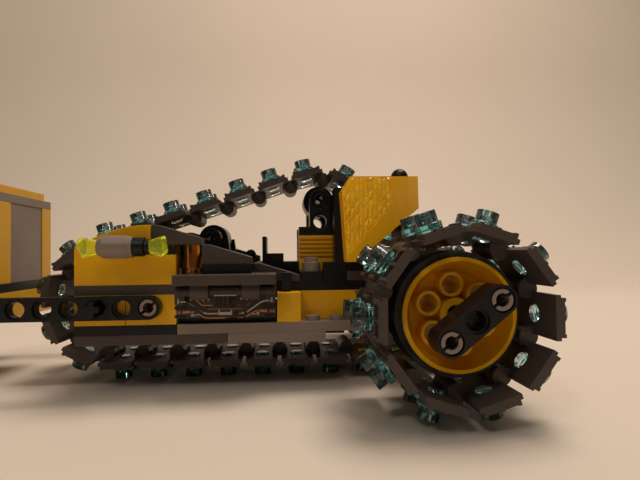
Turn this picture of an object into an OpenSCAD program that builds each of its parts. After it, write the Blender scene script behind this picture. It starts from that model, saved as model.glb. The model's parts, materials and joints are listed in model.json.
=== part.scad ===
// Brick-built tracked harvester: a studded conveyor belt round the hull, two tread wheels, a tipping bin.
// +X is the front, the near side is -Y, +Z is up, and the belt's caps touch the ground at z = 0.
// Grid positions count studs from the rear face of the side blocks and plates above the lowest plate.

/* [Brick grid] */
// Distance between neighbouring studs
pitch = 8; // [7.99:0.01:8.01]
// Height of one plate, a third of a brick
plate_h = 3.2; // [3.19:0.01:3.21]
// Gap left on each side of a brick
seam = 0.1; // [0.08:0.01:0.12]
// Diameter of a stud, a pin or an axle
stud_d = 4.8; // [4.76:0.01:4.82]
// Height of a stud
stud_h = 1.7; // [1.5:0.1:1.8]
// Thickness of a brick's side walls
wall = 1.4; // [1.3:0.05:1.4]
// Thickness of a brick's top
roof = 1.1; // [0.9:0.1:1.2]

/* [Pin holes] */
// Diameter of a pin hole
hole_d = 4.9; // [4.88:0.01:4.95]
// Diameter of the step at a pin hole's mouth
step_d = 6.2; // [6:0.1:6.4]
// Depth of that step
step_deep = 0.9; // [0.7:0.1:1]
// Height of a pin hole above the foot of its brick
hole_rise = 5.8; // [5.7:0.05:5.8]
// Height of a beam
beam_w = 7.4; // [7.2:0.1:7.6]
// Thickness of the thin beams that carry the bin
arm_t = 3.8; // [3.7:0.1:3.9]

/* [Belt and tread wheels] */
// Distance between the hinges of a belt link
link_pitch = 12.8; // [12.7:0.05:12.9]
// Width of a belt link
link_w = 38; // [36:0.5:38]
// Number of links in the conveyor belt
belt_count = 28; // [28:1:28]
// Shift of the first link along the belt, in links
belt_phase = 0.7; // [0:0.05:1]
// Slack of the belt behind the rear wheel
rear_slack = 2.75; // [2.5:0.25:3]
// Slack of the belt before the front wheel
front_slack = 1.75; // [1.5:0.25:2]
// Radius of a link's hinge barrel
barrel_r = 2.6; // [2.4:0.1:2.6]
// Thickness of a link's plate
link_t = 1.3; // [1.1:0.1:1.3]
// Height of the ribs on a link
rib_h = 1.3; // [1:0.1:1.4]
// Diameter of a clear cap's cup
cap_d = 5.9; // [5.7:0.1:6]
// Diameter of a clear cap's flange
cap_flange_d = 7.2; // [6.8:0.1:7.4]
// Number of links round a tread wheel
wheel_count = 10; // [10:1:10]
// Radius of a wheel rim
rim_r = 15.2; // [14.8:0.1:15.4]
// Width of a wheel rim
rim_w = 20; // [18:1:20]
// Angle of the cross beams on the tread wheels
beam_angle = 38.5; // [0:0.5:60]

/* [Bin] */
// Length of the bin in studs
bin_long = 6; // [5:1:7]
// Gap between the hull blocks and the bin
bin_gap = 31; // [26:0.5:34]
// Thickness of the bin's side panels
panel_t = 1.6; // [1.2:0.1:2]

/* [Hidden] */
$fn = 48;

stud_r = stud_d / 2;
hole_r = hole_d / 2;
brick_t = pitch - 2 * seam;
cap_h = plate_h + stud_h;
link_face = 2.45;
cap_seat = link_face + rib_h;
half_link = 180 / wheel_count;
apothem = link_pitch / 2 / tan(half_link);
wheel_pin_r = link_pitch / 2 / sin(half_link);
tip_r = apothem + cap_seat + cap_h;
axle_z = tip_r;
base_z = axle_z - 2 * plate_h - hole_rise;
front_n = 14;
rear_n = 1;
idler_n = 10;
rear_idler_n = 5;
lever_n = 6.7;
tilt_n = -7;
idler_rise = 10;
idler_r = 5.8;
idler_pin_r = 8.8;
idler_w = 15;
rear_idler_rise = 2.4;
rear_idler_r = 5.4;
ring_r = 16.8;
lip_r = 2.6;
pin_bore_r = 1.65;
bar_w = 0.9;
finger_reach = 2.9;
side_wheel_y = 63.4;
beam_y = 77.3;
lamp_y = 41;
lamp_z = 31.3;
lamp_r = 3.6;
panel_hinge_y = 39.4;
panel_hinge_z = 17.0;
bar_r = 1.6;
clip_r = 1.68;
bin_end = bin_gap + bin_long * pitch;
x_mid = (front_n * pitch + front_slack + tip_r - bin_end) / 2;

dark_grey = "#5f5f62";
light_grey = "#a09d98";
black = "#1d1d20";
yellow = "#e8b818";
clear_blue = [0.45, 0.82, 0.88, 0.6];
clear_amber = [0.8, 0.5, 0.1, 0.6];
clear_green = [0.8, 0.9, 0.15, 0.7];

function gx(n) = n * pitch - x_mid;
function gz(p) = base_z + p * plate_h;
idler_z = gz(12) + idler_rise;
rear_idler_z = gz(10) + rear_idler_rise;

// Places its children at a grid corner
module at(n, m, p) translate([gx(n), m * pitch, gz(p)]) children();

// Draws its children on the far side and again on the near side
module both_sides() {
    children();
    mirror([0, 1, 0]) children();
}

// Turns a cylinder along +Y
module along_y() rotate([-90, 0, 0]) children();
// Turns a cylinder along +X
module along_x() rotate([0, 90, 0]) children();

module stud() cylinder(r = stud_r, h = stud_h);

// A hollow brick or plate, nx by ny studs and np plates high
module brick(nx, ny, np, studs = true) {
    w = nx * pitch - 2 * seam;
    d = ny * pitch - 2 * seam;
    h = np * plate_h;
    difference() {
        translate([seam, seam, 0]) cube([w, d, h]);
        translate([seam + wall, seam + wall, -1]) cube([w - 2 * wall, d - 2 * wall, h - roof + 1]);
    }
    if (studs) for (i = [0.5:nx], j = [0.5:ny]) translate([i * pitch, j * pitch, h]) stud();
}

// A pin hole along +Y through a wall that starts at y = seam, with a step at its outer mouth and its inner one
module pin_hole(thick = brick_t, inner_step = true) along_y() {
    cylinder(r = hole_r, h = pitch);
    if (inner_step) translate([0, 0, -1]) cylinder(d = step_d, h = 1 + seam + step_deep);
    translate([0, 0, seam + thick - step_deep]) cylinder(d = step_d, h = 1 + seam + step_deep);
}

// A brick one stud wide with pin holes across it at the listed grid lines
module holed_brick(nx, holes, studs = true) difference() {
    union() {
        brick(nx, 1, 3, studs);
        for (n = holes) translate([n * pitch, seam, hole_rise]) along_y() cylinder(r = 3.6, h = brick_t);
    }
    for (n = holes) translate([n * pitch, 0, hole_rise]) pin_hole();
}

// A beam with round ends and a row of pin holes along +X from the origin
module beam(count, thick = brick_t) difference() {
    union() {
        translate([0, seam, -beam_w / 2]) cube([(count - 1) * pitch, thick, beam_w]);
        for (n = [0, count - 1]) translate([n * pitch, seam, 0]) along_y() cylinder(d = beam_w, h = thick);
    }
    for (n = [0:count - 1]) translate([n * pitch, 0, 0]) pin_hole(thick, thick == brick_t);
}

// A cross-shaped axle centred on the origin along Y
module cross_axle(length) intersection() {
    along_y() translate([0, 0, -length / 2]) cylinder(r = stud_r, h = length);
    union() {
        cube([stud_d + 1, length, 1.8], center = true);
        cube([1.8, length, stud_d + 1], center = true);
    }
}

// A hollow slotted pin along +Y, its lip's face at y = 0 and its shank reaching back to y = -length
module slotted_pin(length, slot_angle = 40) difference() {
    union() {
        translate([0, -length, 0]) along_y() cylinder(r = stud_r, h = length);
        translate([0, -step_deep, 0]) along_y() cylinder(r = lip_r, h = step_deep);
    }
    translate([0, -length - 1, 0]) along_y() cylinder(r = pin_bore_r, h = length + 2);
    rotate([0, -slot_angle, 0]) translate([-4, -4, -0.45]) cube([8, 5, 0.9]);
}

// A bush on an axle, from y = 0 along +Y
module bush(length) difference() {
    along_y() cylinder(r = 3.7, h = length);
    translate([0, -1, 0]) along_y() cylinder(r = hole_r, h = length + 2);
    for (y = [1.6, length - 2.6]) translate([0, y, 0]) along_y() difference() {
        cylinder(r = 4, h = 1);
        translate([0, 0, -1]) cylinder(r = 3.2, h = 3);
    }
}

// ---- Belt links: local x runs along the belt, y across it and z outwards

// Hinge fingers of a link at its front end and at its rear end, each as [from, to] across the belt
front_fingers = [[-6.8, -4.6], [-1.6, 1.6], [4.6, 6.8]];
rear_fingers = [[-4.3, -1.9], [1.9, 4.3]];

module link_barrels(x, fingers) for (s = fingers) {
    translate([x, s[0], 0]) along_y() cylinder(r = barrel_r, h = s[1] - s[0]);
    translate([min(x, x - finger_reach * sign(x)), s[0], 0]) cube([finger_reach, s[1] - s[0], link_face - 0.1]);
}

// Room for a neighbour's fingers
module finger_room(x, fingers) for (s = fingers)
    translate([x, s[0] - 0.3, 0]) along_y() cylinder(r = barrel_r + 0.25, h = s[1] - s[0] + 0.6);

// One link: a plate with three long ribs and end bars, and its hinge fingers in the middle
module belt_link() {
    long = link_pitch - 1.5;
    edge = link_w / 2;
    rib_x = long / 2 - 1.2;
    hinge_x = link_pitch / 2;
    difference() {
        translate([-long / 2, -edge, link_face - link_t]) cube([long, link_w, link_t]);
        for (s = [-1, 1]) translate([0, s * pitch, 0]) cylinder(r = hole_r, h = pitch);
        finger_room(hinge_x, rear_fingers);
        finger_room(-hinge_x, front_fingers);
    }
    for (x = [-rib_x, 0, rib_x], span = [[-edge, -11.8], [-4.2, 4.2], [11.8, edge]])
        translate([x - bar_w / 2, span[0], link_face]) cube([bar_w, span[1] - span[0], rib_h]);
    for (y = [-edge, -12.7, -4.2, 3.3, 11.8, edge - bar_w])
        translate([-rib_x, y, link_face]) cube([2 * rib_x, bar_w, rib_h - 0.3]);
    link_barrels(hinge_x, front_fingers);
    link_barrels(-hinge_x, rear_fingers);
}

// A clear cap on the ribs, its stud pressed through the link's plate and its hollow cup outwards
module link_caps() for (s = [-1, 1]) translate([0, s * pitch, cap_seat]) {
    difference() {
        union() {
            cylinder(d = cap_flange_d, h = 1.7);
            cylinder(d = cap_d, h = cap_h);
        }
        translate([0, 0, 1.9]) cylinder(r = 2.25, h = cap_h);
    }
    translate([0, 0, -stud_h - rib_h]) cylinder(r = stud_r, h = stud_h + rib_h + 0.1);
}

// The belt runs round rear wheel, front wheel and idler: [x, z, distance of straight runs, hinge radius]
pulleys = [[gx(rear_n) - rear_slack, axle_z, apothem, wheel_pin_r],
    [gx(front_n) + front_slack, axle_z, apothem, wheel_pin_r],
    [gx(idler_n), idler_z, idler_pin_r, idler_pin_r]];
function dx(i) = pulleys[(i + 1) % 3][0] - pulleys[i][0];
function dz(i) = pulleys[(i + 1) % 3][1] - pulleys[i][1];
// Outward direction of the straight run that leaves pulley i
function normal(i) = atan2(dz(i), dx(i)) - acos((pulleys[i][2] - pulleys[(i + 1) % 3][2]) / norm([dx(i), dz(i)]));
function normals_in(i) = normal((i + 2) % 3);
function lead(i) = acos(pulleys[i][2] / pulleys[i][3]);
function arc_from(i) = normals_in(i) + lead(i);
function turn(i) = (normal(i) - normals_in(i) + 720) % 360 - 2 * lead(i);
function arc_len(i) = turn(i) * PI / 180 * pulleys[i][3];
function on_arc(i, a) = [pulleys[i][0] + pulleys[i][3] * cos(a), pulleys[i][1] + pulleys[i][3] * sin(a)];
function run_from(i) = on_arc(i, arc_from(i) + turn(i));
function run_to(i) = on_arc((i + 1) % 3, arc_from((i + 1) % 3));
function run_len(i) = norm(run_to(i) - run_from(i));
function part_len(i) = arc_len(i) + run_len(i);
belt_len = part_len(0) + part_len(1) + part_len(2);
// Hinge position at distance s along the belt, which starts where the rear wheel's arc starts
function hinge_at(s, i = 0) =
    s >= belt_len ? hinge_at(s - belt_len, 0)
    : s >= part_len(i) && i < 2 ? hinge_after(s - part_len(i), i + 1)
    : place_on(s, i);
function hinge_after(s, i) = s >= part_len(i) && i < 2 ? hinge_after(s - part_len(i), i + 1) : place_on(s, i);
function place_on(s, i) = s < arc_len(i)
    ? on_arc(i, arc_from(i) + s / pulleys[i][3] * 180 / PI)
    : run_from(i) + (run_to(i) - run_from(i)) * (s - arc_len(i)) / run_len(i);

// Draws its children on each link of the conveyor belt
module on_belt() for (k = [0:belt_count - 1]) {
    a = hinge_at((k + belt_phase) * belt_len / belt_count);
    b = hinge_at((k + 1 + belt_phase) * belt_len / belt_count);
    translate([(a[0] + b[0]) / 2, 0, (a[1] + b[1]) / 2])
        rotate([0, -atan2(b[1] - a[1], b[0] - a[0]), 0]) rotate([180, 0, 0]) children();
}

// Draws its children on each link of both tread wheels
module on_wheels() both_sides() for (k = [0:wheel_count - 1])
    translate([gx(front_n), side_wheel_y, axle_z]) rotate([0, k * 2 * half_link, 0])
        translate([apothem, 0, 0]) rotate([0, 90, 0]) children();

// A wheel rim centred on the origin about Y: lipped barrel, dished web, hub and six pin tubes
module rim() {
    hub_r = 4.2;
    tube_face = rim_w / 2 - 3.4;
    difference() {
        union() {
            along_y() translate([0, 0, -rim_w / 2]) rotate_extrude($fn = 96) polygon([
                [hub_r, 2], [rim_r - 3, 2], [rim_r - 2.6, 0], [rim_r - 1.1, 0], [rim_r, 0.4],
                [rim_r, 1.6], [rim_r - 0.8, 2.4], [rim_r - 0.8, rim_w - 2.4], [rim_r, rim_w - 1.6],
                [rim_r, rim_w - 0.4], [rim_r - 1.1, rim_w], [rim_r - 1.4, rim_w - 3],
                [rim_r - 2.4, rim_w - 7], [rim_r - 4, rim_w / 2 + 1], [hub_r, rim_w / 2 + 1]]);
            along_y() translate([0, 0, -rim_w / 2 + 2]) cylinder(r = hub_r + 0.1, h = rim_w / 2 + tube_face - 2);
            for (k = [0:5]) rotate([0, -beam_angle - 60 * k, 0]) translate([pitch, 0, 0])
                along_y() cylinder(r = 3.3, h = tube_face);
        }
        along_y() translate([0, 0, -rim_w]) cylinder(r = hole_r, h = 2 * rim_w);
        for (k = [0:5]) rotate([0, -beam_angle - 60 * k, 0]) translate([pitch, 0, 0])
            along_y() translate([0, 0, -rim_w]) cylinder(r = hole_r, h = 2 * rim_w);
    }
}

// A rubber ring on a rim, that the links sit on
module drive_ring() along_y() difference() {
    translate([0, 0, -rim_w / 2 + 2.6]) cylinder(r = ring_r, h = rim_w - 5.2, $fn = 96);
    translate([0, 0, -rim_w]) cylinder(r = rim_r - 0.75, h = 2 * rim_w, $fn = 96);
}

// An idler wheel about Y with a bore and two dished faces
module idler(r) along_y() translate([0, 0, -idler_w / 2]) rotate_extrude() polygon([
    [hole_r, 0], [r - 1.6, 0], [r - 1.2, 0.6], [r, 0.6], [r, idler_w - 0.6], [r - 1.2, idler_w - 0.6],
    [r - 1.6, idler_w], [hole_r, idler_w]]);

// ---- Hull

module base_plates_dark() color(dark_grey) both_sides() at(0, 2.5, 0) brick(6, 2, 1, false);
module base_plates_light() color(light_grey) both_sides() at(6, 2.5, 0) brick(4, 2, 1, false);
module spacer_plates() color(black) both_sides() at(0, 2.5, 1) brick(4, 2, 1);

// Light plates that run forward past the side panel, with the last studs of the outer row bare
module running_boards() color(light_grey) both_sides() {
    at(4, 2.5, 1) brick(8, 2, 1, false);
    for (n = [9:11], m = [3, 4]) at(n + 0.5, m, 2) stud();
}

module axle_bricks() color(yellow) both_sides() for (n = [0, 2]) at(n, 3.5, 2) holed_brick(2, [1]);
module inner_walls() color(yellow) both_sides() for (n = [0, 2]) at(n, 2.5, 2) holed_brick(2, [1]);

module deck_plates() color(dark_grey) both_sides() {
    at(0, 2.5, 5) brick(8, 2, 1, false);
    at(11, 2.5, 6) brick(1, 1, 1, false);
}

module upper_bricks() color(yellow) both_sides() at(0, 3.5, 6) brick(4, 1, 3, false);

// Yellow curved slopes whose crowns end level at the front
module curved_fairings() {
    long = 3 * pitch - 2 * seam;
    tall = 3 * plate_h;
    crown_r = 41.7;
    color(yellow) both_sides() at(0, 3.5, 9) translate([seam, seam, 0]) difference() {
        intersection() {
            cube([long, brick_t, tall]);
            translate([long, -1, tall - crown_r]) along_y() cylinder(r = crown_r, h = pitch + 2, $fn = 96);
        }
        translate([wall, wall, -1]) cube([long - 2 * wall, brick_t - 2 * wall, 2]);
    }
}

// A slope two studs long and two plates high that falls to the front
module slope() translate([0, seam + brick_t, 0]) rotate([90, 0, 0]) difference() {
    linear_extrude(brick_t) polygon([[seam, 0], [2 * pitch - seam, 0], [2 * pitch - seam, 2.1],
        [2, 2 * plate_h], [seam, 2 * plate_h]]);
    translate([seam + wall, -1, wall]) cube([pitch, 3, brick_t - 2 * wall]);
}
// The two upper slopes stand in the outer row and the lowest one in the row behind the canopy
module cab_slopes() color(dark_grey) both_sides() for (k = [0:2])
    at(3 + 2 * k, k < 2 ? 3.5 : 2.5, 10 - 2 * k) slope();

module cab_side_bricks() color(black) both_sides() {
    at(3, 3.5, 9) brick(1, 1, 1, false);
    at(5, 3.5, 7) brick(2, 1, 1, false);
    at(3, 2.5, 6) brick(4, 1, 1, false);
}

// A clear round brick with a waist ring at its foot
module amber_lamps() color(clear_amber) both_sides() at(4.5, 4, 7) {
    cylinder(r = 3.1, h = 1.8);
    translate([0, 0, 1.8]) cylinder(r = 3.9, h = 3 * plate_h - 1.8);
}

// A flat canopy over the side panel, with two clips that hold the panel's bar
module panel_canopies() {
    clip_w = 5.6;
    clip_out = 2.9;
    color(dark_grey) both_sides() {
        at(4, 3.5, 6) brick(4, 2, 1, false);
        for (n = [5, 7]) translate([gx(n) - clip_w / 2, panel_hinge_y, gz(0) + panel_hinge_z]) along_x() difference() {
            union() {
                cylinder(r = clip_out, h = clip_w);
                translate([-(6 * plate_h - panel_hinge_z), -2.4, 0]) cube([3, 4.8, clip_w]);
            }
            translate([0, 0, -1]) cylinder(r = clip_r, h = clip_w + 2);
            translate([0.6, -1.3, -1]) cube([4, 2.6, clip_w + 2]);
            translate([-6 - (6 * plate_h - panel_hinge_z), -5, -1]) cube([6, 10, clip_w + 2]);
        }
    }
}

module panel_sills() color(black) both_sides() at(4, 3.5, 2) translate([seam, seam, 0])
    cube([4 * pitch - 2 * seam, 4, plate_h / 2]);

module front_side_bricks() color(yellow) both_sides() {
    at(8, 2.5, 2) brick(1, 2, 3, false);
    at(9, 2.5, 2) holed_brick(6, [5]);
}

module black_side_bricks() color(black) both_sides() {
    at(8, 2.5, 5) brick(4, 1, 1, false);
    at(9, 2.5, 6) brick(1, 1, 1, false);
    at(9.5, 3, 7) stud();
    at(10, 2.5, 6) brick(1, 1, 2, false);
    at(11, 2.5, 7) brick(1, 1, 1, false);
    at(8.2, 3.5, 5) translate([0, -seam, 0.4]) cube([3.2, 4.2, 6]);
}

module round_caps() color(light_grey) both_sides() at(9.5, 3, 7) {
    difference() {
        cylinder(d = 6.4, h = plate_h);
        translate([0, 0, -1]) cylinder(r = hole_r, h = stud_h + 1.2);
    }
    translate([0, 0, plate_h]) stud();
}

module floor_plates() color(black) at(4, -2.5, 0) brick(7, 5, 1, false);
module cab_deck() color(black) at(4, -2.5, 5) brick(7, 5, 1, false);

// The plinths of the tower and the seat, and the ears of the control lever
module cab_bricks() color(black) {
    both_sides() at(9, 1, 6) brick(2, 1, 1);
    at(7, -1, 6) brick(2, 2, 2, false);
    for (s = [-1, 1]) at(lever_n, 0, 6) translate([0, s * 2.4 - 0.8, 0]) difference() {
        translate([-2.4, 0, 0]) cube([4.6, 1.6, 6]);
        translate([0, -1, 4]) along_y() cylinder(r = 1.05, h = 4);
    }
}

// Bricks with level flutes on both long faces, each on a plate
module ribbed_bricks() {
    flute = 3 * plate_h / 6;
    color(yellow) both_sides() {
        at(9, 1, 7) brick(2, 1, 1);
        at(9, 1, 8) difference() {
            brick(2, 1, 3);
            for (k = [1:5], y = [seam - 1, pitch - seam - 0.5])
                translate([-1, y, k * flute - 0.4]) cube([2 * pitch + 2, 1.5, 0.8]);
        }
    }
}

// A plate with an upright that carries the idler pin
module idler_brackets() color(black) both_sides() at(9, 1, 11) difference() {
    union() {
        brick(2, 1, 1, false);
        translate([pitch / 2 + seam, seam, plate_h - 0.1]) cube([brick_t, brick_t, idler_rise + 0.1]);
        translate([pitch, seam, idler_rise + plate_h]) along_y() cylinder(d = brick_t, h = brick_t);
    }
    for (z = [idler_rise + plate_h - pitch, idler_rise + plate_h]) translate([pitch, 0, z]) pin_hole();
}

module rear_idler_brackets() color(black) both_sides() at(rear_idler_n - 0.5, 1, 6) difference() {
    tall = rear_idler_z - gz(6);
    union() {
        translate([seam, seam, 0]) cube([brick_t, brick_t, tall]);
        translate([pitch / 2, seam, tall]) along_y() cylinder(d = brick_t, h = brick_t);
        translate([pitch - seam - 0.1, 2.4, tall - 4.6]) rotate([0, -8, 0]) cube([3, 3.2, 4.6]);
    }
    translate([pitch / 2, 0, tall]) pin_hole();
}

// Hollow pins that carry the two idlers, with their collars in the brackets' outer mouths
module idler_pins() color(black) both_sides() {
    translate([gx(idler_n), 2 * pitch - seam, idler_z]) slotted_pin(12);
    translate([gx(rear_idler_n), 2 * pitch - seam, rear_idler_z]) slotted_pin(12);
}

module seat() color(black) at(7.3, -1, 8) {
    translate([0, seam, 0]) cube([pitch, 2 * pitch - 2 * seam, plate_h]);
    translate([0, seam, 0]) cube([1.6, 2 * pitch - 2 * seam, 3 * plate_h]);
}

// A lever on a cross pin between the two ears
module control_lever() color(black) at(lever_n, 0, 6) {
    translate([0, -3.1, 4]) along_y() cylinder(r = 1, h = 6.2);
    translate([0, -1.4, 4]) along_y() cylinder(r = 1.9, h = 2.8);
    translate([0, 0, 4]) cylinder(r = 1, h = 5.2);
    translate([0, 0, 9.2]) sphere(r = 2);
}

// Posts that hold the shields on their inner side
module shield_posts() color(black) both_sides() {
    at(10.5, 2.5, 8) translate([0, seam, 0]) cube([pitch, brick_t, 8 * plate_h]);
    at(12.5, 3, 10) for (post = [[4, 3], [10.5, 12]]) translate([-1, 0, post[1]])
        cube([post[0], pitch / 2 - seam, 21.6 - post[1]]);
    at(11.5, 3, 11) cube([pitch, pitch / 2 - seam, 4]);
}

// Thick shields over the belt's front corners
module shields() color(yellow) both_sides() translate([gx(0), 3.5 * pitch + brick_t, gz(0)])
    rotate([90, 0, 0]) linear_extrude(brick_t)
        polygon([[88.7, 54], [111.3, 54], [112, 43.5], [90.5, 25.7], [87.1, 25.7], [85.6, 49.2]]);

module shield_knobs() color(black) both_sides() translate([gx(0) + 107.3, 3 * pitch + 2, gz(0) + 53.6]) {
    cylinder(r = 2, h = 1.6);
    translate([0, 0, 1.4]) intersection() {
        sphere(r = 3);
        cylinder(r = 4, h = 4);
    }
}

// ---- Side lamps: the axis runs along X outside the curved fairings

module on_lamp(x) translate([gx(0) + x, lamp_y, gz(0) + lamp_z]) along_x() children();

module lamp_bodies() color(light_grey) both_sides() {
    on_lamp(9.2) cylinder(r1 = 2.4, r2 = lamp_r, h = 2);
    on_lamp(11.2) cylinder(r = lamp_r, h = 7.2);
    on_lamp(18.4) cylinder(r = lamp_r - 0.3, h = 1.6);
}

module lamp_sockets() color(black) both_sides() {
    on_lamp(20) cylinder(r = lamp_r - 0.6, h = 3.4);
    on_lamp(23.4) cylinder(r = stud_r, h = 1.6);
    translate([gx(0) + 20.4, 4.5 * pitch - seam, gz(0) + lamp_z - 1.5]) cube([2.6, 3, 3]);
}

// A cut crystal: two rings of facets
module crystal() {
    cylinder(r1 = 2.2, r2 = 3.4, h = 2.2, $fn = 7);
    translate([0, 0, 2.2]) rotate([0, 0, 20]) cylinder(r1 = 3.5, r2 = 1.8, h = 3.6, $fn = 7);
}
module lamp_crystals() color(clear_green) both_sides() {
    on_lamp(25) crystal();
    on_lamp(9.2) mirror([0, 0, 1]) crystal();
}

// ---- Arms to the bin

module arms() color(black) both_sides()
    translate([gx(tilt_n), 4.5 * pitch, axle_z]) beam(3 - tilt_n + 1, arm_t);

module arm_pins() color(light_grey) both_sides() for (n = [3, tilt_n])
    translate([gx(n), 4.5 * pitch + seam + arm_t, axle_z]) slotted_pin(arm_t + step_deep + 6.5);

module belt_links() color(dark_grey) on_belt() belt_link();
module belt_caps() color(clear_blue) on_belt() link_caps();

// ---- Hinged side panels

// A flat panel below a bar that the canopy's clips hold
module side_panel() {
    long = 4 * pitch - 0.6;
    foot = plate_h / 2 + 2 * plate_h + 0.3 - panel_hinge_z;
    head = 5 * plate_h - 0.3 - panel_hinge_z;
    drop = panel_hinge_y - 4.5 * pitch;
    translate([gx(6) - long / 2, panel_hinge_y, gz(0) + panel_hinge_z]) {
        translate([0, -drop - 2.4, foot]) cube([long, 2.6, head - foot]);
        along_x() cylinder(r = bar_r, h = long);
        for (x = [0, long / 2 - 1.5, long - 3]) translate([x, -drop - 0.2, head - 2.6])
            cube([3, drop + 0.2, 2.6]);
        for (x = [0, long / 2 - 1.5, long - 3]) translate([x, -1.2, head - 2.6]) cube([3, 2.4, 2.6 - head]);
    }
}
module side_panel_far() color(dark_grey) side_panel();
module side_panel_near() color(dark_grey) mirror([0, 1, 0]) side_panel();

// ---- Wheels

module rear_axle() color(black) translate([gx(rear_n), 0, axle_z]) cross_axle(2 * (5.5 * pitch - seam));
module rear_rim() color(yellow) translate([gx(rear_n), 0, axle_z]) rim();
module rear_drive_ring() color(black) translate([gx(rear_n), 0, axle_z]) drive_ring();
module rear_bushes() color(light_grey) both_sides()
    translate([gx(rear_n), rim_w / 2 + 0.2, axle_z]) bush(2.5 * pitch - rim_w / 2 - 0.4);

module top_idler() color(black) translate([gx(idler_n), 0, idler_z]) idler(idler_r);
module rear_idler() color(black) translate([gx(rear_idler_n), 0, rear_idler_z]) idler(rear_idler_r);

module front_axle() color(black) translate([gx(front_n), 0, axle_z]) cross_axle(2 * (beam_y + pitch / 2));
module centre_rim() color(yellow) translate([gx(front_n), 0, axle_z]) rim();
module side_rims() color(yellow) both_sides() translate([gx(front_n), side_wheel_y, axle_z]) rim();
module drive_rings() color(black) {
    translate([gx(front_n), 0, axle_z]) drive_ring();
    both_sides() translate([gx(front_n), side_wheel_y, axle_z]) drive_ring();
}
module wheel_links() color(dark_grey) on_wheels() belt_link();
module wheel_caps() color(clear_blue) on_wheels() link_caps();

// Cross beams that stand in front of the side rims on two pins each
module on_beam() both_sides() translate([gx(front_n), beam_y, axle_z]) rotate([0, -beam_angle, 0]) children();
module wheel_beams() color(black) on_beam() translate([-pitch, 0, 0]) beam(3);
module wheel_pins() color(light_grey) on_beam() for (s = [-1, 1])
    translate([s * pitch, pitch - seam, 0]) slotted_pin(22, 0);
module front_bushes() color(light_grey) both_sides() {
    translate([gx(front_n), rim_w / 2 + 0.2, axle_z]) bush(2.5 * pitch - rim_w / 2 - 0.4);
    translate([gx(front_n), 3.5 * pitch + 0.2, axle_z]) bush(side_wheel_y - rim_w / 2 + 1.8 - 3.5 * pitch);
}

// ---- Bin

bin_n = -bin_end / pitch;
// A level frame round the bin, set in by the given margin
module bin_frame(p, margin) translate([gx(bin_n), -2.5 * pitch, gz(p)]) difference() {
    translate([margin, margin, 0]) cube([bin_long * pitch - 2 * margin, 5 * pitch - 2 * margin, plate_h]);
    translate([pitch, pitch, -1]) cube([(bin_long - 2) * pitch, 3 * pitch, plate_h + 2]);
}
module bin_floor() color(black) {
    at(bin_n, -2.5, 5) brick(bin_long, 5, 1, false);
    both_sides() at(tilt_n - 1, 2.5, 5) brick(2, 2, 1, false);
}
module bin_tilt_bricks() color(black) {
    both_sides() at(tilt_n - 1, 3.5, 2) holed_brick(2, [1], false);
    at(tilt_n - 1, -3.5, 4) brick(2, 7, 1, false);
}
module bin_posts() color(yellow) for (n = [bin_n, bin_n + bin_long - 1], m = [-2.5, 1.5])
    at(n, m, 6) translate([seam, seam, 0]) cube([brick_t, brick_t, 9 * plate_h]);
module bin_panels() color(light_grey) {
    both_sides() at(bin_n + 1, 2.5, 6) translate([0, -panel_t - 0.4, 0])
        cube([(bin_long - 2) * pitch, panel_t, 9 * plate_h]);
    for (x = [0.4, bin_long * pitch - panel_t - 0.4]) at(bin_n, -1.5, 6) translate([x, 0, 0])
        cube([panel_t, 3 * pitch, 9 * plate_h]);
}
module bin_front_brick() color(yellow) at(bin_n + bin_long - 1, -2.5, 2) brick(1, 5, 3, false);
module bin_rim() color(light_grey) bin_frame(15, seam);
module bin_top() color(yellow) bin_frame(16, 2);

base_plates_dark();
base_plates_light();
spacer_plates();
running_boards();
axle_bricks();
inner_walls();
deck_plates();
upper_bricks();
curved_fairings();
cab_slopes();
cab_side_bricks();
amber_lamps();
panel_canopies();
panel_sills();
front_side_bricks();
black_side_bricks();
round_caps();
floor_plates();
cab_deck();
cab_bricks();
ribbed_bricks();
idler_brackets();
rear_idler_brackets();
idler_pins();
seat();
shield_posts();
shields();
shield_knobs();
lamp_bodies();
lamp_sockets();
lamp_crystals();
arms();
arm_pins();
belt_links();
belt_caps();
side_panel_near();
side_panel_far();
control_lever();
rear_axle();
rear_rim();
rear_drive_ring();
rear_bushes();
top_idler();
rear_idler();
front_axle();
centre_rim();
side_rims();
drive_rings();
wheel_links();
wheel_caps();
wheel_beams();
wheel_pins();
front_bushes();
bin_floor();
bin_front_brick();
bin_posts();
bin_panels();
bin_rim();
bin_top();
bin_tilt_bricks();
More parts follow.
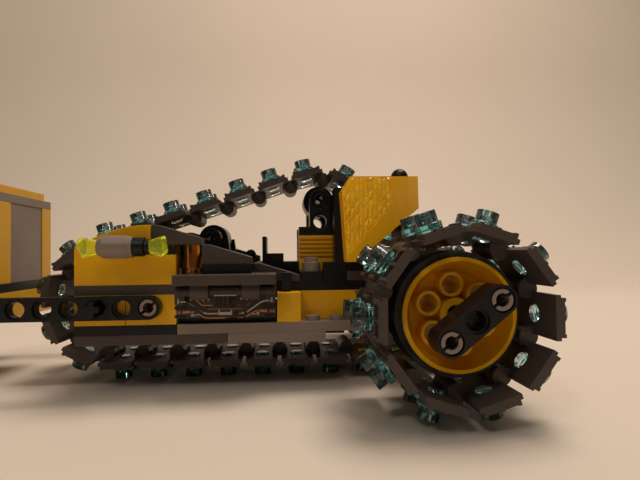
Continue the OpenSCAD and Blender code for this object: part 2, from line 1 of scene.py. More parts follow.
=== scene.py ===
# %% [markdown]
# # A brick-built tracked harvester
# The toy is a hull of moulded bricks with a belt of hinged links round it, two wide tread wheels and
# a tipping bin on arms. The CAD frame already holds every brick at its true size, so this lesson
# gives each part its moulded finish: rounded edges, fine scuffs, clear caps, a carved shield and a
# printed side panel. The frame is loaded first, because every later place is read from it.
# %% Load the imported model
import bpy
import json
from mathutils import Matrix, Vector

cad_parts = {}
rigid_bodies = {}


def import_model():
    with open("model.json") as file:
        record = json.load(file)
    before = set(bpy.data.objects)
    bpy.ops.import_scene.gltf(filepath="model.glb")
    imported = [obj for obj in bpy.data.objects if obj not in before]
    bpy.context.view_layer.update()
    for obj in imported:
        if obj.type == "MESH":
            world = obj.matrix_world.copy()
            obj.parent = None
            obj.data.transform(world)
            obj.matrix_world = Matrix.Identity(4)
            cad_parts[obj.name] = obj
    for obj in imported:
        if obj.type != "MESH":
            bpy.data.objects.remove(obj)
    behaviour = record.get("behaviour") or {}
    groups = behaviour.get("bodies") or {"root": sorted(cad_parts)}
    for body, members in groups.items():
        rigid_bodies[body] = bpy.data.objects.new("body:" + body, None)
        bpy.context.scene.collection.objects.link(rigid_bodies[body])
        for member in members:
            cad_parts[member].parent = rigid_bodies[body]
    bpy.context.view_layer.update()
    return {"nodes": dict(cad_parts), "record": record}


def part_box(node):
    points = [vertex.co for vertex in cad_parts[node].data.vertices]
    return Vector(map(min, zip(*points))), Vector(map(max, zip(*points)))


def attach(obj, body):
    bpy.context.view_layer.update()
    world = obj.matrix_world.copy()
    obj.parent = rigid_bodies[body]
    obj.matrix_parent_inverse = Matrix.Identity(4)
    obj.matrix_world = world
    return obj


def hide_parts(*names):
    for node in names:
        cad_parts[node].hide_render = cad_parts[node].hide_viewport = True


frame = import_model()
print("nodes in the frame:", len(frame["nodes"]))

# %% [markdown]
# ## Units and look-ups
# Moulded bricks are measured in millimetres and Blender works in metres, so one constant turns one
# into the other. The record says which body a node rides on and which finish it has. Reading both
# from there keeps the script right when a part moves to another body.
# %% Units and look-ups
import json
from math import cos, pi, radians, sin
from random import Random

import bmesh
import bpy
from mathutils import Matrix, Vector

MM = 0.001
record = frame["record"]
body_of = {node: body for body, nodes in record["behaviour"]["bodies"].items() for node in nodes}
slot_of = {part["node"]: part["material_slot"] for part in record["subparts"]}
print("bodies:", sorted(set(body_of.values())))

# %% [markdown]
# ## The camera
# The camera stands low and close at the near side, as a person would kneel to look at a toy on a
# table. A close camera with a short lens shows more of the wheel's tread than a far one would. Its
# place and its three turns, in radians, are plain numbers, and one matrix puts them together.
# %% Camera
EYE = Vector((34.6, -205.1, 45.2)) * MM
TURN_RIGHT = 0.0719
TILT_UP = 0.0234
LEAN = -0.0111
FOCAL_MM = 29.1
SENSOR_MM = 36
NEAREST_SEEN = 10 * MM

lens = bpy.data.cameras.new("camera")
lens.lens = FOCAL_MM
lens.sensor_width = SENSOR_MM
lens.clip_start = NEAREST_SEEN
camera = bpy.data.objects.new("camera", lens)
camera.matrix_world = (Matrix.Translation(EYE) @ Matrix.Rotation(-TURN_RIGHT, 4, "Z")
                       @ Matrix.Rotation(pi / 2 + TILT_UP, 4, "X") @ Matrix.Rotation(LEAN, 4, "Z"))
bpy.context.scene.collection.objects.link(camera)
bpy.context.scene.camera = camera
print("camera at", tuple(round(v, 4) for v in EYE))

# %% [markdown]
# ## Helpers for shaders
# Every finish here is built from noise that reads Object coordinates, so that it stays still on the
# part from any side. Node trees grow long when each link is written out, so a few short helpers
# add a node and wire it in one line.
# %% Shader helpers
def new_material(name):
    """An empty node material with its Principled shader wired to the output."""
    material = bpy.data.materials.new(name)
    material.use_nodes = True
    shader = material.node_tree.nodes["Principled BSDF"]
    return material, material.node_tree, shader


def add(tree, kind, inputs=None, **settings):
    """Adds a node; an input is given by name or number, as a value or as a socket to link from."""
    node = tree.nodes.new("ShaderNode" + kind)
    for key, value in settings.items():
        setattr(node, key, value)
    for key, value in (inputs or {}).items():
        if isinstance(value, bpy.types.NodeSocket):
            tree.links.new(value, node.inputs[key])
        else:
            node.inputs[key].default_value = value
    return node


def object_noise(tree, scale, detail=3.0, stretch=(1, 1, 1), turn=0.0):
    """Noise on Object coordinates: scale is features per metre, stretch and turn shape scratches."""
    place = add(tree, "TexCoord").outputs["Object"]
    mapped = add(tree, "Mapping", {"Vector": place, "Scale": stretch, "Rotation": (0, turn, 0)})
    noise = add(tree, "TexNoise", {"Vector": mapped.outputs[0], "Scale": scale, "Detail": detail})
    return noise.outputs["Fac"]


def between(tree, factor, low, high, start=0.3, end=0.7):
    """Turns a factor into a number from low to high, with the change between start and end."""
    return add(tree, "MapRange", {"Value": factor, "From Min": start, "From Max": end,
                                  "To Min": low, "To Max": high}).outputs[0]


def ramp(tree, factor, *stops):
    """A colour ramp through (position, colour) stops."""
    node = add(tree, "ValToRGB", {"Fac": factor})
    points = node.color_ramp.elements
    for point, (position, colour) in zip([points[0], points[1]], [stops[0], stops[-1]]):
        point.position = position
        point.color = (*colour, 1)
    for position, colour in stops[1:-1]:
        points.new(position).color = (*colour, 1)
    return node.outputs["Color"]


def scaled(colour, factor):
    """A colour made lighter or darker."""
    return tuple(min(1.0, channel * factor) for channel in colour)


print("shader helpers ready")

# %% [markdown]
# ## Moulded plastic
# Toy bricks are moulded in a glossy plastic that is coloured all through. A new brick is almost a
# mirror, but a played-with one has a slight orange-peel waviness and hair-fine scratches. Its edges
# are painted a little lighter, partly as wear and partly as a painted highlight on the rounded edge.
# One function makes that finish from a base colour, and its lighter edges come from an attribute
# that the edge-rounding step writes on its new faces. The thick shields get a copy of the yellow
# that is painted brighter, with a faint painted glow, and some of their facets are painted lighter
# at random as painted highlights, so they differ more in tone.
# %% Moulded plastic
CLOUDS = 60
GRAIN = 2600
WORN_AND_HIGHLIT_PATCHES = 650
SCRATCHES = 420
SCRATCH_STRETCH = (1, 9, 14)
SCRATCH_TURN = 0.5
WAVES = 230
WAVE_HEIGHT = 0.05 * MM
# how much lighter the marked faces are painted: partly edge wear, partly painted highlight
WORN_AND_HIGHLIT_LIGHTER = 1.9
DULLER = 0.22


def moulded(name, colour, gloss, wear_and_highlight_share, mottle=0.08, shine=0.25, painted_glow=0.0):
    """Glossy plastic. gloss is its roughness; the share after it says how far the faces marked for
    wear and painted highlight go towards a lighter tone; mottle is its change of tone, shine its
    mirror strength, and the last number a painted glow in the plastic's own colour."""
    material, tree, shader = new_material(name)
    clouds = object_noise(tree, CLOUDS)
    body_colour = ramp(tree, clouds, (0.3, scaled(colour, 1 - mottle)), (0.7, scaled(colour, 1 + mottle)))
    # faces marked by the edge-rounding step are painted lighter, partly as wear and partly as painted
    # highlight
    worn_and_highlit = add(tree, "Attribute", attribute_name="worn_and_highlit").outputs["Fac"]
    patchy = between(tree, object_noise(tree, WORN_AND_HIGHLIT_PATCHES), 0.25, 1)
    edge = add(tree, "Math", {0: worn_and_highlit, 1: patchy}, operation="MULTIPLY").outputs[0]
    lighter = ramp(tree, edge, (0.0, (0, 0, 0)), (1.0, (wear_and_highlight_share, wear_and_highlight_share, wear_and_highlight_share)))
    worn_and_highlit_colour = (*scaled(colour, WORN_AND_HIGHLIT_LIGHTER), 1)
    mixed = add(tree, "Mix", {"Factor": lighter, "A": body_colour, "B": worn_and_highlit_colour}, data_type="RGBA")
    tree.links.new(mixed.outputs["Result"], shader.inputs["Base Color"])
    scratches = object_noise(tree, SCRATCHES, 2, SCRATCH_STRETCH, SCRATCH_TURN)
    fine = object_noise(tree, GRAIN, 1)
    dull = add(tree, "Math", {0: scratches, 1: fine}, operation="MULTIPLY").outputs[0]
    roughness = between(tree, dull, gloss, gloss + DULLER, 0.15, 0.42)
    tree.links.new(roughness, shader.inputs["Roughness"])
    wavy = object_noise(tree, WAVES, 1)
    relief = add(tree, "Math", {0: wavy, 1: scratches}, operation="ADD").outputs[0]
    bump = add(tree, "Bump", {"Height": relief, "Strength": 0.12, "Distance": WAVE_HEIGHT})
    tree.links.new(bump.outputs["Normal"], shader.inputs["Normal"])
    shader.inputs["IOR"].default_value = 1.53
    shader.inputs["Specular IOR Level"].default_value = shine
    # painted glow: the plastic gives off light in its own colour, though it is no lamp
    if painted_glow:
        shader.inputs["Emission Color"].default_value = (*colour, 1)
        shader.inputs["Emission Strength"].default_value = painted_glow
    return material


plastics = {
    "yellow": moulded("yellow plastic", (0.86, 0.45, 0.004), 0.24, 0.2, 0.05),
    "dark_grey": moulded("dark grey plastic", (0.075, 0.059, 0.052), 0.34, 0.45),
    "light_grey": moulded("light grey plastic", (0.25, 0.195, 0.16), 0.32, 0.3, 0.08, 0.4),
    "black": moulded("black plastic", (0.007, 0.0065, 0.0075), 0.27, 0.8),
    # the shields' yellow is a copy painted brighter than the other yellow, with a faint painted glow in
    # its own colour
    "lit_cast_yellow": moulded("lit cast yellow plastic", (1.0, 0.47, 0.01), 0.17, 0.75, 0.16, 0.6, 0.08),
    "panel_print": moulded("panel plastic", (0.055, 0.042, 0.036), 0.3, 0.35, 0.15),
}
print("moulded finishes:", sorted(plastics))

# %% [markdown]
# ## Rubber
# The drive rings are soft black rubber. Rubber scatters light instead of mirroring it, and dust
# greys it in patches, so it is rough, and its colour follows a coarse noise.
# %% Rubber
GRAIN_DEPTH = 0.08 * MM


def rubber(name, colour, dust):
    """Matt rubber with patches of dust."""
    material, tree, shader = new_material(name)
    tone = ramp(tree, object_noise(tree, 180), (0.35, colour), (0.75, dust))
    tree.links.new(tone, shader.inputs["Base Color"])
    tree.links.new(between(tree, object_noise(tree, 700), 0.65, 0.9), shader.inputs["Roughness"])
    grain = object_noise(tree, 1500)
    bump = add(tree, "Bump", {"Height": grain, "Strength": 0.3, "Distance": GRAIN_DEPTH})
    tree.links.new(bump.outputs["Normal"], shader.inputs["Normal"])
    return material


plastics["rubber"] = rubber("rubber", (0.018, 0.018, 0.019), (0.05, 0.045, 0.042))
print("rubber added")

# %% [markdown]
# ## Clear coloured plastic
# The caps, lamps and crystals are clear plastic with a dye in it. Light passes through, so the
# shader transmits it and tints it. A thin wall looks pale and a thick foot looks deep, so the tint
# follows an attribute that marks thick faces. A little noise in the roughness gives finger marks.
# %% Clear plastic
def clear(name, colour, deep, haze, painted_glow=0.0):
    """Dyed clear plastic, colour where it is thin and deep where thick; the last number is a painted glow
    that lifts a bright dye.
    """
    material, tree, shader = new_material(name)
    thick = add(tree, "Attribute", attribute_name="thick").outputs["Fac"]
    cloud = between(tree, object_noise(tree, 260), 0, 0.5)
    depth = add(tree, "Math", {0: thick, 1: cloud}, operation="ADD", use_clamp=True).outputs[0]
    tint = ramp(tree, depth, (0.0, colour), (1.0, deep))
    tree.links.new(tint, shader.inputs["Base Color"])
    tree.links.new(between(tree, object_noise(tree, 900), haze, haze + 0.1), shader.inputs["Roughness"])
    shader.inputs["Transmission Weight"].default_value = 1
    shader.inputs["IOR"].default_value = 1.49
    # painted glow in the dye's own colour, though the part is no lamp
    if painted_glow:
        shader.inputs["Emission Color"].default_value = (*colour, 1)
        shader.inputs["Emission Strength"].default_value = painted_glow
    return material


plastics["clear_blue"] = clear("clear blue plastic", (0.90, 0.98, 0.98), (0.20, 0.68, 0.76), 0.02)
plastics["clear_amber"] = clear("clear amber plastic", (0.72, 0.36, 0.04), (0.60, 0.26, 0.02), 0.05)
# the green crystals get a faint painted glow that lifts their colour
plastics["clear_green"] = clear("clear green plastic", (0.86, 0.86, 0.05), (0.66, 0.78, 0.03), 0.04, 0.07)
print("finishes:", len(plastics))

# %% [markdown]
# ## Rounding the moulded edges
# No moulded edge is a perfect corner: the mould leaves a radius of a tenth of a millimetre or two,
# and that radius is what catches the light. The CAD mesh is loose triangles, so a copy is welded
# and its flat faces are joined before its sharp edges are bevelled. The bevel's new faces are
# marked for wear and painted highlight, and the finish paints them lighter.
# %% Edge rounding
WELD = 0.002 * MM
FLAT_WITHIN = 0.6
SHARPER_THAN = 29
MOULD_RADIUS = 0.16 * MM


def welded_copy(node):
    """A bmesh of a CAD node with its triangles welded and its flat faces joined."""
    shape = bmesh.new()
    shape.from_mesh(frame["nodes"][node].data)
    bmesh.ops.remove_doubles(shape, verts=shape.verts[:], dist=WELD)
    bmesh.ops.dissolve_limit(shape, angle_limit=radians(FLAT_WITHIN), verts=shape.verts[:],
                             edges=shape.edges[:])
    return shape


def round_edges(shape, radius=MOULD_RADIUS, sharper_than=SHARPER_THAN, segments=2):
    """Bevels every edge that is sharper than some degrees and marks the new faces to be painted lighter,
    as wear and painted highlight.
    """
    worn_and_highlit = shape.faces.layers.float.get("worn_and_highlit") or shape.faces.layers.float.new("worn_and_highlit")
    limit = radians(sharper_than)
    sharp = [edge for edge in shape.edges if edge.is_manifold and edge.calc_face_angle() > limit]
    made = bmesh.ops.bevel(shape, geom=sharp, offset=radius, offset_type="OFFSET", affect="EDGES",
                           segments=segments, profile=0.5, clamp_overlap=True, material=-1)
    for face in made["faces"]:
        face[worn_and_highlit] = 1
    return shape


def finish_piece(shape, name, body, slot, material=None, stands_for=(), smooth_to=35):
    """Makes an object of a bmesh, shades it and fixes it to its body."""
    mesh = bpy.data.meshes.new(name)
    shape.to_mesh(mesh)
    shape.free()
    mesh.shade_smooth()
    mesh.set_sharp_from_angle(angle=radians(smooth_to))
    mesh.materials.append(material or plastics[slot])
    piece = bpy.data.objects.new(name, mesh)
    bpy.context.scene.collection.objects.link(piece)
    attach(piece, body)
    if stands_for:
        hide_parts(*stands_for)
    return piece


def moulded_copy(node, radius=MOULD_RADIUS, segments=2):
    """A finished copy of a CAD node with rounded edges, which is shown in its place."""
    shape = round_edges(welded_copy(node), radius, segments=segments)
    piece = finish_piece(shape, node + "-moulded", body_of[node], slot_of[node], stands_for=[node])
    weights = piece.modifiers.new("flat faces", "WEIGHTED_NORMAL")
    weights.keep_sharp = True
    return piece


print("mould radius:", MOULD_RADIUS)

# %% [markdown]
# ## Every brick, link and wheel
# Most parts only need that moulded edge. The special ones, which have their own steps below, are
# left out of the loop. The links are small and many, so their radius is smaller and has one step.
# %% Moulded copies
SMALL_RADIUS = 0.1 * MM
LINKS = ("belt_links", "wheel_links")
SPECIAL = ("shields", "lamp_crystals", "belt_caps", "wheel_caps", "ribbed_bricks")
for node in sorted(frame["nodes"]):
    if node in LINKS:
        moulded_copy(node, SMALL_RADIUS, 1)
    elif node not in SPECIAL:
        moulded_copy(node)
faces = {o.name: len(o.data.polygons) for o in bpy.data.objects if o.name.endswith("-moulded")}
print("moulded copies:", len(faces), "faces:", sum(faces.values()))

# %% [markdown]
# ## The clear caps
# A cap is a pale hollow cup on a wider flange. The flange is solid, so its dye looks much deeper.
# Each cap is found as one island of joined faces. Its flange is the part that reaches out sideways
# furthest, and the faces near the flange's middle are marked as thick, for the finish to read.
# %% Clear caps
CUP_RADIUS = 3.0 * MM
FLANGE_HALF = 1.1 * MM


def islands(shape):
    """The groups of joined faces of a shape."""
    left = set(shape.faces)
    while left:
        found, reached = [], [left.pop()]
        while reached:
            face = reached.pop()
            found.append(face)
            for near in {f for edge in face.edges for f in edge.link_faces} & left:
                left.discard(near)
                reached.append(near)
        yield found


for node in ("belt_caps", "wheel_caps"):
    caps = round_edges(welded_copy(node), SMALL_RADIUS, segments=1)
    thick = caps.faces.layers.float.new("thick")
    count = 0
    for cap in islands(caps):
        places = [vert.co for face in cap for vert in face.verts]
        middle = (min(c.y for c in places) + max(c.y for c in places)) / 2
        wide = [c for c in places if abs(c.y - middle) > CUP_RADIUS]
        flange = sum(wide, Vector()) / len(wide)
        centre = sum(places, Vector()) / len(places)
        axis = (centre - flange).normalized()
        for face in cap:
            away = abs((face.calc_center_median() - flange).dot(axis))
            face[thick] = 1.0 if away < FLANGE_HALF else 0.0
        count += 1
    finish_piece(caps, "clear_" + node, body_of[node], "clear_blue", stands_for=[node])
    print(node, count)

# %% [markdown]
# ## The ribbed bricks
# Below the idler sits a brick with deep flutes along both of its faces, which read as light and
# dark lines. The grooves are pushed in further here, and their lips get a wider radius.
# %% Ribbed bricks
FLUTE_DEEPER = 0.7 * MM
FLUTE_RADIUS = 0.2 * MM
FACE_SKIN = 0.2 * MM
GROOVE_REACH = 1.2 * MM
TOP_SKIN = 0.5 * MM
ribbed = welded_copy("ribbed_bricks")
low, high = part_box("ribbed_bricks")
grooved = [vert for vert in ribbed.verts
           if FACE_SKIN < high.y - abs(vert.co.y) < GROOVE_REACH and vert.co.z < high.z - TOP_SKIN]
for vert in grooved:
    vert.co.y -= FLUTE_DEEPER * (1 if vert.co.y > 0 else -1)
round_edges(ribbed, FLUTE_RADIUS, segments=2)
finish_piece(ribbed, "fluted_bricks", "hull", "yellow", stands_for=["ribbed_bricks"])
print("groove corners pushed in:", len(grooved))

# %% [markdown]
# ## The shields
# Each shield is a thick yellow casting. Its outer face has a carved field of long upright facets at
# the rear, a smooth band with a seam at the front, and a slanting band below that falls away to the
# edge. The face is cut with planes: first along the borders of the field, then into upright columns,
# then each column into cells. A cell is inset and its middle raised by its own amount, and some of
# its facets, picked at random, are painted lighter as painted highlights. Cutting keeps the outline as it
# was.
# %% Shields
FIELD_FRONT = 17.2 * MM
FIELD_RIDGE_TOP = 19.1 * MM
FIELD_SUNK = 0.3 * MM
RIDGE_SLOPE = 49
FALL_WIDTH = 6 * MM
FALL_DEPTH = 1.8 * MM
SEAM_FROM_REAR = 22.0 * MM
SEAM = 0.2 * MM
SEAM_DEPTH = 0.3 * MM
CELL_WIDTH = 1.5 * MM
CELL_HEIGHT = 4.1 * MM
CELL_BORDER = 0.18 * MM
SMALLEST_CELL = CELL_WIDTH * CELL_WIDTH / 4
CAST_RADIUS = 0.22 * MM


def cut(shape, faces, point, normal):
    """Cuts some faces of a shape with a plane and returns the faces on either side."""
    parts = set(faces) | {edge for face in faces for edge in face.edges}
    parts |= {vert for face in faces for vert in face.verts}
    made = bmesh.ops.bisect_plane(shape, geom=list(parts), dist=WELD, plane_co=point, plane_no=normal)
    return [g for g in made["geom"] if isinstance(g, bmesh.types.BMFace)]


def ahead_of(face, point, normal):
    """Whether a face lies on the side of a plane that its normal points to."""
    return (face.calc_center_median() - point).dot(normal) > 0


def carve(shape, side, low, high, chisel):
    """Carves the outer face of the shield on one side of the hull."""
    outer = max(shape.faces, key=lambda face: face.calc_center_median().y * side)
    across = Vector((1, 0, 0))
    up = Vector((0, 0, 1))
    front = Vector((low.x + FIELD_FRONT, 0, 0))
    ridge = Vector((front.x, 0, low.z + FIELD_RIDGE_TOP))
    ridge_normal = Vector((sin(radians(RIDGE_SLOPE)), 0, -cos(radians(RIDGE_SLOPE))))
    pieces = cut(shape, [outer], front, across)
    field = [f for f in pieces if not ahead_of(f, front, across)]
    band = [f for f in pieces if ahead_of(f, front, across)]
    pieces = cut(shape, field, ridge, ridge_normal)
    slanting = [f for f in pieces if ahead_of(f, ridge, ridge_normal)]
    field = [f for f in pieces if not ahead_of(f, ridge, ridge_normal)]
    band = cut(shape, band, ridge, up)
    slanting += [f for f in band if not ahead_of(f, ridge, up)]
    fallen = {vert for face in slanting for vert in face.verts}
    for vert in fallen:
        depth = min(1.0, max(0.0, (vert.co - ridge).dot(ridge_normal) / FALL_WIDTH))
        vert.co.y -= side * FALL_DEPTH * depth
    seam = Vector((low.x + SEAM_FROM_REAR, 0, 0))
    band = cut(shape, band, seam, across)
    band = cut(shape, band, seam + across * SEAM, across)
    groove = [f for f in band if 0 < f.calc_center_median().x - seam.x < SEAM]
    bmesh.ops.inset_region(shape, faces=groove, thickness=SEAM / 10, depth=-SEAM_DEPTH)
    bmesh.ops.inset_region(shape, faces=field, thickness=FIELD_SUNK, depth=-FIELD_SUNK)
    columns = int((high.x - low.x) / CELL_WIDTH)
    for step in range(1, columns):
        field = cut(shape, field, low + across * step * CELL_WIDTH, across)
    cells = []
    for step in range(columns):
        column = [f for f in field if int((f.calc_center_median().x - low.x) / CELL_WIDTH) == step]
        start = chisel.uniform(0.1, 1) * CELL_HEIGHT
        while column and start < high.z - low.z:
            slope = Vector((chisel.uniform(-0.9, 0.5), 0, 1))
            column = cut(shape, column, low + across * step * CELL_WIDTH + up * start, slope)
            start += chisel.uniform(0.7, 1.3) * CELL_HEIGHT
        cells += column
    worn_and_highlit = shape.faces.layers.float["worn_and_highlit"]
    for face in dict.fromkeys(cells):
        if face.is_valid and face.calc_area() > SMALLEST_CELL:
            bmesh.ops.inset_individual(shape, faces=[face], thickness=CELL_BORDER,
                                       depth=chisel.uniform(0.05, 0.35) * MM)
            made = bmesh.ops.poke(shape, faces=[face], offset=chisel.uniform(0.2, 0.6) * MM)
            # random facets are painted lighter: painted highlights that stand in for light on the carved
            # facets
            for facet in made["faces"]:
                facet[worn_and_highlit] = chisel.choice((0, 0, 0.5, 1))
    return len(cells)


shield = welded_copy("shields")
shield.faces.layers.float.new("worn_and_highlit")
low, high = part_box("shields")
chisel = Random(7)
cells = [carve(shield, side, low, high, chisel) for side in (-1, 1)]
round_edges(shield, CAST_RADIUS, 50, 3)
finish_piece(shield, "carved_shields", "hull", "yellow", plastics["lit_cast_yellow"], ["shields"], 12)
print("facets on each shield:", cells)

# %% [markdown]
# ## The crystals
# At both ends of each side lamp sits a cut crystal of fluorescent green plastic, narrow where it
# plugs in and wide at its jagged tip. A cone with a few sides gives the flare. Its outer ring is
# pulled about a little, so no two facets match, and the tip is closed with a step and a blunt point.
# %% Crystals
CRYSTAL_SIDES = 8
FOOT_RADIUS = 2.1 * MM
MOUTH_RADIUS = 3.5 * MM
CONE_SHARE = 0.72
TIP_BORDER = 1.1 * MM
TIP_STEP = 0.5 * MM
TIP_POINT = 0.7 * MM
FACET_RADIUS = 0.08 * MM


def crystal(shape, foot, direction, length, cutter):
    """Adds one crystal from its foot along X."""
    turned = Matrix.Rotation(direction * pi / 2, 4, "Y")
    middle = foot + Vector((direction * length * CONE_SHARE / 2, 0, 0))
    made = bmesh.ops.create_cone(shape, cap_ends=True, segments=CRYSTAL_SIDES, radius1=FOOT_RADIUS,
                                 radius2=MOUTH_RADIUS, depth=length * CONE_SHARE,
                                 matrix=Matrix.Translation(middle) @ turned)
    rim = [v for v in made["verts"] if (v.co.x - foot.x) * direction > length * 0.6]
    tip_face = [f for f in shape.faces if all(v in rim for v in f.verts)]
    for vert in rim:
        vert.co.x += direction * cutter.uniform(-0.12, 0.22) * length
        vert.co.yz = [centre + (value - centre) * cutter.uniform(0.82, 1.1)
                      for value, centre in zip(vert.co.yz, foot.yz)]
    bmesh.ops.inset_region(shape, faces=tip_face, thickness=TIP_BORDER, depth=TIP_STEP)
    bmesh.ops.poke(shape, faces=tip_face, offset=TIP_POINT)


crystals = bmesh.new()
cutter = Random(3)
low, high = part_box("lamp_crystals")
body_low, body_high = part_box("lamp_bodies")
socket_low, socket_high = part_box("lamp_sockets")
lamp_z = (body_low.z + body_high.z) / 2
lamp_y = body_high.y - (body_high.z - body_low.z) / 2
for side in (-1, 1):
    crystal(crystals, Vector((socket_high.x, side * lamp_y, lamp_z)), 1, high.x - socket_high.x, cutter)
    crystal(crystals, Vector((body_low.x, side * lamp_y, lamp_z)), -1, body_low.x - low.x, cutter)
bmesh.ops.recalc_face_normals(crystals, faces=crystals.faces[:])
round_edges(crystals, FACET_RADIUS, 15, 1)
finish_piece(crystals, "cut_crystals", "hull", "clear_green", stands_for=["lamp_crystals"], smooth_to=10)
print("crystals are", round((high.x - socket_high.x) / MM, 1), "mm long")

# %% [markdown]
# ## The printed side panels
# Each hinged panel is printed with pipes, vents and dots, as if the works of the machine lay open.
# Ink has a real thickness, so each mark is a strip five hundredths of a millimetre proud of the
# plastic. A strip starts as one short edge, which is extruded from point to point along its path.
# %% Printed strips
INK = 0.05 * MM


def strip(shape, path, width):
    """A flat strip of the given width along a path of (x, z) points in the panel's own plane."""
    points = [Vector(point) for point in path]
    runs = [(b - a).normalized() for a, b in zip(points, points[1:])]
    leans = [runs[0], *[(a + b).normalized() for a, b in zip(runs, runs[1:])], runs[-1]]
    edge = None
    for point, lean, run in zip(points, leans, [runs[0], *runs]):
        half = Vector((-lean.y, lean.x)) * width / 2 / lean.dot(run)
        ends = [point + half, point - half]
        if edge is None:
            edge = shape.edges.new([shape.verts.new((e.x, 0, e.y)) for e in ends])
            continue
        grown = bmesh.ops.extrude_edge_only(shape, edges=[edge])
        edge = next(g for g in grown["geom"] if isinstance(g, bmesh.types.BMEdge))
        nearest = sorted(edge.verts, key=lambda v: (Vector((v.co.x, v.co.z)) - ends[0]).length)
        for vert, end in zip(nearest, ends):
            vert.co = (end.x, 0, end.y)


def dot(shape, place, radius):
    """A round dot."""
    upright = Matrix.Translation((place[0], 0, place[1])) @ Matrix.Rotation(pi / 2, 4, "X")
    bmesh.ops.create_circle(shape, cap_ends=True, segments=16, radius=radius, matrix=upright)


def ink_piece(strips, dots, name, side, material):
    """Makes the strips and dots of one ink on one panel."""
    node = "side_panel_near" if side < 0 else "side_panel_far"
    low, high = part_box(node)
    face = low.y if side < 0 else high.y
    ink = bmesh.new()
    for path, width in strips:
        strip(ink, [(x * MM, z * MM) for x, z in path], width * MM)
    for x, z, radius in dots:
        dot(ink, (x * MM, z * MM), radius * MM)
    bmesh.ops.translate(ink, verts=ink.verts[:], vec=(low.x, face - side * INK / 2, low.z))
    grown = bmesh.ops.extrude_face_region(ink, geom=ink.faces[:])
    outer = [g for g in grown["geom"] if isinstance(g, bmesh.types.BMVert)]
    bmesh.ops.translate(ink, verts=outer, vec=(0, side * INK * 1.5, 0))
    bmesh.ops.recalc_face_normals(ink, faces=ink.faces[:])
    return finish_piece(ink, f"{name}_{'near' if side < 0 else 'far'}", node, "panel_print", material)


print("ink thickness:", INK)

# %% [markdown]
# ## The marks on a panel
# The marks are listed once in millimetres from the panel's rear foot, and both panels use them. A
# part that is the same at the rear and at the front is listed once and turned about the middle.
# %% Marks
PANEL_LONG = 31.4
pale = moulded("pale ink", (0.40, 0.33, 0.28), 0.4, 0)
copper = moulded("copper ink", (0.42, 0.17, 0.055), 0.36, 0)
dark = moulded("dark ink", (0.01, 0.008, 0.009), 0.4, 0)
brown = moulded("brown ink", (0.12, 0.075, 0.05), 0.4, 0)


def both_ends(path):
    """The path, and the path turned about the panel's middle."""
    return [path, [(PANEL_LONG - x, z) for x, z in path]]


PIPE = [(1.8, 5.7), (3.4, 5.7), (4.8, 5.1), (9.0, 2.2), (10.2, 1.9), (13.4, 1.9)]
SHADE = [(5.0, 4.4), (9.2, 1.45), (10.2, 1.2), (13.2, 1.2)]
LOWER_PIPE = [(4.9, 2.5), (6.1, 2.5), (7.4, 1.9), (9.3, 0.7), (10.4, 0.5), (PANEL_LONG / 2, 0.5)]
OCTAGON = [(7.0, 7.3), (7.0, 6.0), (8.6, 4.5), (11.9, 4.5)]
INNER_OCTAGON = [(8.2, 7.3), (8.2, 6.4), (9.2, 5.4), (11.9, 5.4)]
VENT_PITCH = 1.25
VENT_PLACES = [PANEL_LONG / 2 + step * VENT_PITCH for step in range(-2, 3)]
VENTS = [[(x, 4.2), (x, 7.3)] for x in VENT_PLACES]
DOTS = [(5.1, 6.4), (8.9, 6.2), (10.6, 6.3), (20.7, 6.4), (22.5, 6.2), (26.2, 6.7)]
DOT_RADIUS = 0.34
for side in (-1, 1):
    low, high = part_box("side_panel_near" if side < 0 else "side_panel_far")
    pale_strips = [(path, 0.42) for path in both_ends(PIPE)]
    pale_strips += [(path, 0.3) for path in both_ends([(5.6, 1.5), (7.4, 1.6)])]
    pale_strips += [([(13.6, 1.9), (17.8, 1.9)], 0.9), ([(13.8, 2.3), (13.8, 3.0)], 0.4)]
    pale_strips += [([(17.6, 2.3), (17.6, 3.0)], 0.4), ([(12.2, 7.55), (19.2, 7.55)], 0.4)]
    pale_strips += [(path, 0.5) for path in both_ends([(1.2, 5.1), (1.2, 6.7)])]
    ink_piece(pale_strips, [(5.6, 1.5, 0.5), (PANEL_LONG - 5.6, 1.7, 0.5)], "pale_ink", side, pale)
    copper_strips = [(path, 0.34) for path in both_ends(LOWER_PIPE)]
    copper_strips += [(path, 0.3) for path in both_ends(OCTAGON)]
    copper_strips += [(path, 0.75) for path in both_ends([(2.6, 2.4), (4.8, 2.6)])]
    copper_strips += [(path, 0.9) for path in both_ends([(0.4, 2.4), (0.9, 2.4)])]
    copper_strips += [(path, 0.8) for path in both_ends([(1.3, 2.4), (1.8, 2.4)])]
    ink_piece(copper_strips, [(x, z, DOT_RADIUS) for x, z in DOTS], "copper_ink", side, copper)
    dark_strips = [(path, 0.62) for path in VENTS]
    dark_strips += [(path, 1.1) for path in both_ends([(0.1, 3.9), (3.9, 3.9)])]
    dark_strips += [(path, 0.9) for path in both_ends([(0.1, 1.2), (3.6, 1.2)])]
    dark_strips += [(path, 0.25) for path in both_ends(SHADE)]
    ink_piece(dark_strips, [], "dark_ink", side, dark)
    brown_strips = [(path, 0.24) for path in both_ends(INNER_OCTAGON)]
    brown_strips += [([(10.4, 3.3), (21.0, 3.3)], 0.5)]
    ink_piece(brown_strips, [], "brown_ink", side, brown)
print("the panels are", round((high.x - low.x) / MM, 2), "mm long")

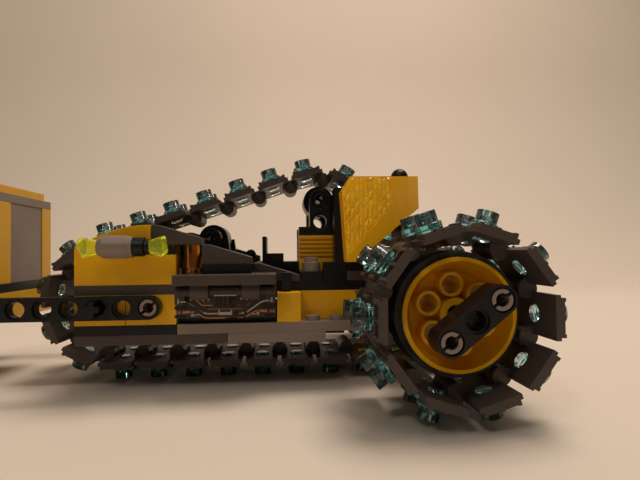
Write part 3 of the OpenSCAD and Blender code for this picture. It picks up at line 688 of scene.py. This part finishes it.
# %% [markdown]
# ## The studio
# The toy stands on a pale sheet that runs up behind it in one sweep, so no line shows where the
# floor ends. A grid with its rear edge pulled up and rounded is enough. Paper is nearly matt, so
# its finish is rough and mirrors little, and its tone drifts only slightly.
# %% Floor and backdrop
FLOOR_REACH = 3.0
SWEEP_AT = 0.75
SWEEP_RADIUS = 0.4
SWEEP_STEPS = 24
DRIFT = 0.015


def paper(name, colour):
    """Pale seamless paper with a faint gloss."""
    material, tree, shader = new_material(name)
    darker, lighter = scaled(colour, 1 - DRIFT), scaled(colour, 1 + DRIFT)
    tone = ramp(tree, object_noise(tree, 6), (0.3, darker), (0.7, lighter))
    tree.links.new(tone, shader.inputs["Base Color"])
    tree.links.new(between(tree, object_noise(tree, 30), 0.6, 0.75), shader.inputs["Roughness"])
    shader.inputs["Specular IOR Level"].default_value = 0.3
    return material


sheet = bmesh.new()
bmesh.ops.create_grid(sheet, x_segments=1, y_segments=1, size=FLOOR_REACH)
bmesh.ops.translate(sheet, verts=sheet.verts[:], vec=(0, SWEEP_AT - FLOOR_REACH, 0))
rear = max(sheet.edges, key=lambda edge: (edge.verts[0].co + edge.verts[1].co).y)
grown = bmesh.ops.extrude_edge_only(sheet, edges=[rear])
raised = [g for g in grown["geom"] if isinstance(g, bmesh.types.BMVert)]
bmesh.ops.translate(sheet, verts=raised, vec=(0, 0, FLOOR_REACH))
bmesh.ops.bevel(sheet, geom=[rear], offset=SWEEP_RADIUS, offset_type="OFFSET", affect="EDGES",
                segments=SWEEP_STEPS, profile=0.5, clamp_overlap=True, material=-1)
backdrop_mesh = bpy.data.meshes.new("backdrop")
sheet.to_mesh(backdrop_mesh)
sheet.free()
backdrop_mesh.shade_smooth()
backdrop_mesh.materials.append(paper("pale paper", (0.78, 0.69, 0.60)))
backdrop = bpy.data.objects.new("backdrop", backdrop_mesh)
bpy.context.scene.collection.objects.link(backdrop)
print("backdrop sweeps up at", SWEEP_AT, "m")

# %% [markdown]
# ## The lights
# The main light is a soft lamp above and a little behind, so the tops shine and the near faces stay
# deep, lit mostly by what the floor throws back. A wide lamp evens the backdrop. A small lamp far
# off in front, like a window across the room, puts the bright points on facets, pins and caps.
# %% Lights
WARM = (1.0, 0.86, 0.72)


def soft_lamp(name, place, aim, size, watts, colour=WARM):
    """A square area light that looks from one point at another."""
    lamp = bpy.data.lights.new(name, "AREA")
    lamp.shape = "SQUARE"
    lamp.size = size
    lamp.energy = watts
    lamp.color = colour
    holder = bpy.data.objects.new(name, lamp)
    holder.location = place
    holder.rotation_euler = (Vector(aim) - Vector(place)).to_track_quat("-Z", "Y").to_euler()
    bpy.context.scene.collection.objects.link(holder)
    return holder


soft_lamp("ceiling lamp", (0.3, 0.12, 1.05), (0.04, 0.02, 0), 0.45, 7.2)
soft_lamp("backdrop lamp", (0.0, -0.5, 1.7), (0.0, 1.15, 0.0), 1.4, 5.5)
soft_lamp("window", (-0.5, -0.9, 1.0), (0.02, 0, 0.03), 0.14, 1.6, (1.0, 0.93, 0.85))
world = bpy.data.worlds.new("room")
world.use_nodes = True
world.node_tree.nodes["Background"].inputs["Color"].default_value = (1.0, 0.88, 0.76, 1)
world.node_tree.nodes["Background"].inputs["Strength"].default_value = 0.09
bpy.context.scene.world = world
bpy.context.scene.view_settings.view_transform = "Standard"

# %% [markdown]
# ## Closing
# %% Finish
print("scene built")
